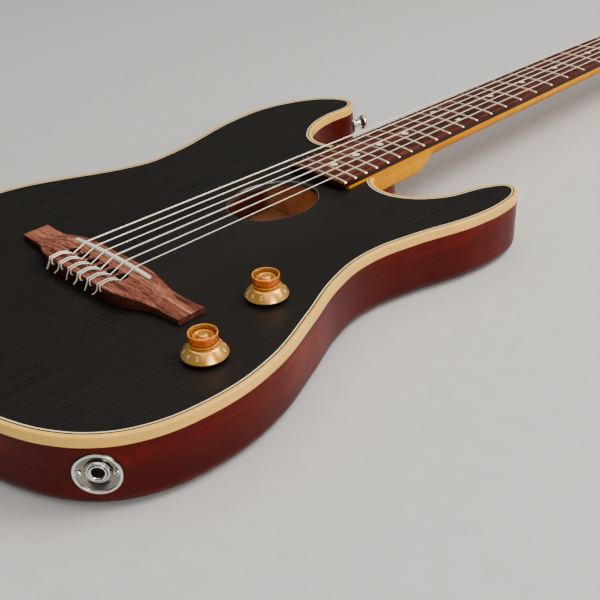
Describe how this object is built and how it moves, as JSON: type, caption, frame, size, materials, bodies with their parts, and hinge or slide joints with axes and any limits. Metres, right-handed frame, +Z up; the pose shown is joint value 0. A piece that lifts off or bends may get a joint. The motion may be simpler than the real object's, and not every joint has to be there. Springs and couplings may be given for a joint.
{
  "type": "nylon-string guitar",
  "caption": "Thin chambered nylon-string guitar with a double-cutaway body, oval soundhole, tie bridge, bolt-on neck, two knobs and turning tuners.",
  "frame": {"origin": "on the body's back face, below the saddle line on the neck's centre line; the guitar lies on its back", "axes": "+Z up through the top, +Y along the neck towards the head, +X towards the treble side"},
  "size_m": [0.3131, 0.9806, 0.0612],
  "materials": {
    "mahogany_red": "high-gloss stained mahogany",
    "black_satin": "dark satin lacquer",
    "cream": "gloss cream plastic",
    "white_line": "gloss white plastic",
    "maple": "amber lacquered maple",
    "steel": "zinc-plated steel",
    "rosewood": "oiled rosewood",
    "bone": "polished bone",
    "pickup_braid": "copper braid",
    "nylon": "clear nylon",
    "wound": "silver-plated winding over nylon",
    "chrome": "bright chrome",
    "button_cream": "gloss cream plastic",
    "amber": "gloss amber plastic",
    "felt": "black felt",
    "black_plastic": "matt black plastic",
    "battery": "printed steel case",
    "board_green": "green lacquered board",
    "lead_black": "black cable sheath"
  },
  "bodies": {
    "guitar": {"body_core": "mahogany_red", "body_top": "black_satin", "binding": "cream", "purfling": "white_line", "neck": "maple", "truss_rod": "steel", "fretboard": "rosewood", "nut": "bone", "bridge": "rosewood", "saddle": "bone", "saddle_pickup": "pickup_braid", "string_1": "nylon", "string_2": "nylon", "string_3": "nylon", "string_4": "wound", "string_5": "wound", "string_6": "wound", "tuner_case_1": "chrome", "tuner_case_2": "chrome", "tuner_case_3": "chrome", "tuner_case_4": "chrome", "tuner_case_5": "chrome", "tuner_case_6": "chrome", "pot_1": "steel", "pot_2": "steel", "jack_cup": "chrome", "jack_socket": "steel", "jack_nut": "chrome", "strap_button_horn": "chrome", "strap_button_tail": "chrome", "strap_felt_horn": "felt", "strap_felt_tail": "felt", "neck_screw_1": "chrome", "neck_screw_2": "chrome", "neck_screw_3": "chrome", "neck_screw_4": "chrome", "control_cover": "black_plastic", "battery": "battery", "preamp_board": "board_green", "pickup_lead": "lead_black", "jack_lead": "lead_black"},
    "knob_1": {"knob_1": "amber", "pot_shaft_1": "steel"},
    "knob_2": {"knob_2": "amber", "pot_shaft_2": "steel"},
    "tuner_button_1": {"tuner_button_1": "button_cream"},
    "tuner_post_1": {"tuner_post_1": "chrome"},
    "tuner_button_2": {"tuner_button_2": "button_cream"},
    "tuner_post_2": {"tuner_post_2": "chrome"},
    "tuner_button_3": {"tuner_button_3": "button_cream"},
    "tuner_post_3": {"tuner_post_3": "chrome"},
    "tuner_button_4": {"tuner_button_4": "button_cream"},
    "tuner_post_4": {"tuner_post_4": "chrome"},
    "tuner_button_5": {"tuner_button_5": "button_cream"},
    "tuner_post_5": {"tuner_post_5": "chrome"},
    "tuner_button_6": {"tuner_button_6": "button_cream"},
    "tuner_post_6": {"tuner_post_6": "chrome"}
  },
  "joints": [
    {"name": "knob_1_turn", "type": "hinge", "parent": "guitar", "child": "knob_1", "pos_m": [0.1137, -0.0234, 0.0455], "axis": [0, 0, 1], "range_deg": [-150, 150]},
    {"name": "knob_2_turn", "type": "hinge", "parent": "guitar", "child": "knob_2", "pos_m": [0.0937, 0.0409, 0.0455], "axis": [0, 0, 1], "range_deg": [-150, 150]},
    {"name": "tuner_1_turn", "type": "hinge", "parent": "guitar", "child": "tuner_button_1", "pos_m": [0.0235, 0.6934, 0.0153], "axis": [1, 0, 0], "continuous": true},
    {"name": "post_1_turn", "type": "hinge", "parent": "guitar", "child": "tuner_post_1", "pos_m": [0.0235, 0.7, 0.0373], "axis": [0, 0, 1], "continuous": true},
    {"name": "tuner_2_turn", "type": "hinge", "parent": "guitar", "child": "tuner_button_2", "pos_m": [0.0235, 0.7354, 0.0153], "axis": [1, 0, 0], "continuous": true},
    {"name": "post_2_turn", "type": "hinge", "parent": "guitar", "child": "tuner_post_2", "pos_m": [0.0235, 0.742, 0.0373], "axis": [0, 0, 1], "continuous": true},
    {"name": "tuner_3_turn", "type": "hinge", "parent": "guitar", "child": "tuner_button_3", "pos_m": [0.0235, 0.7774, 0.0153], "axis": [1, 0, 0], "continuous": true},
    {"name": "post_3_turn", "type": "hinge", "parent": "guitar", "child": "tuner_post_3", "pos_m": [0.0235, 0.784, 0.0373], "axis": [0, 0, 1], "continuous": true},
    {"name": "tuner_4_turn", "type": "hinge", "parent": "guitar", "child": "tuner_button_4", "pos_m": [-0.0235, 0.7774, 0.0153], "axis": [-1, 0, 0], "continuous": true},
    {"name": "post_4_turn", "type": "hinge", "parent": "guitar", "child": "tuner_post_4", "pos_m": [-0.0235, 0.784, 0.0373], "axis": [0, 0, 1], "continuous": true},
    {"name": "tuner_5_turn", "type": "hinge", "parent": "guitar", "child": "tuner_button_5", "pos_m": [-0.0235, 0.7354, 0.0153], "axis": [-1, 0, 0], "continuous": true},
    {"name": "post_5_turn", "type": "hinge", "parent": "guitar", "child": "tuner_post_5", "pos_m": [-0.0235, 0.742, 0.0373], "axis": [0, 0, 1], "continuous": true},
    {"name": "tuner_6_turn", "type": "hinge", "parent": "guitar", "child": "tuner_button_6", "pos_m": [-0.0235, 0.6934, 0.0153], "axis": [-1, 0, 0], "continuous": true},
    {"name": "post_6_turn", "type": "hinge", "parent": "guitar", "child": "tuner_post_6", "pos_m": [-0.0235, 0.7, 0.0373], "axis": [0, 0, 1], "continuous": true}
  ],
  "couplings": [
    {"joint": "post_1_turn", "follows": "tuner_1_turn", "ratio": -0.055556},
    {"joint": "post_2_turn", "follows": "tuner_2_turn", "ratio": -0.055556},
    {"joint": "post_3_turn", "follows": "tuner_3_turn", "ratio": -0.055556},
    {"joint": "post_4_turn", "follows": "tuner_4_turn", "ratio": 0.055556},
    {"joint": "post_5_turn", "follows": "tuner_5_turn", "ratio": 0.055556},
    {"joint": "post_6_turn", "follows": "tuner_6_turn", "ratio": 0.055556}
  ]
}
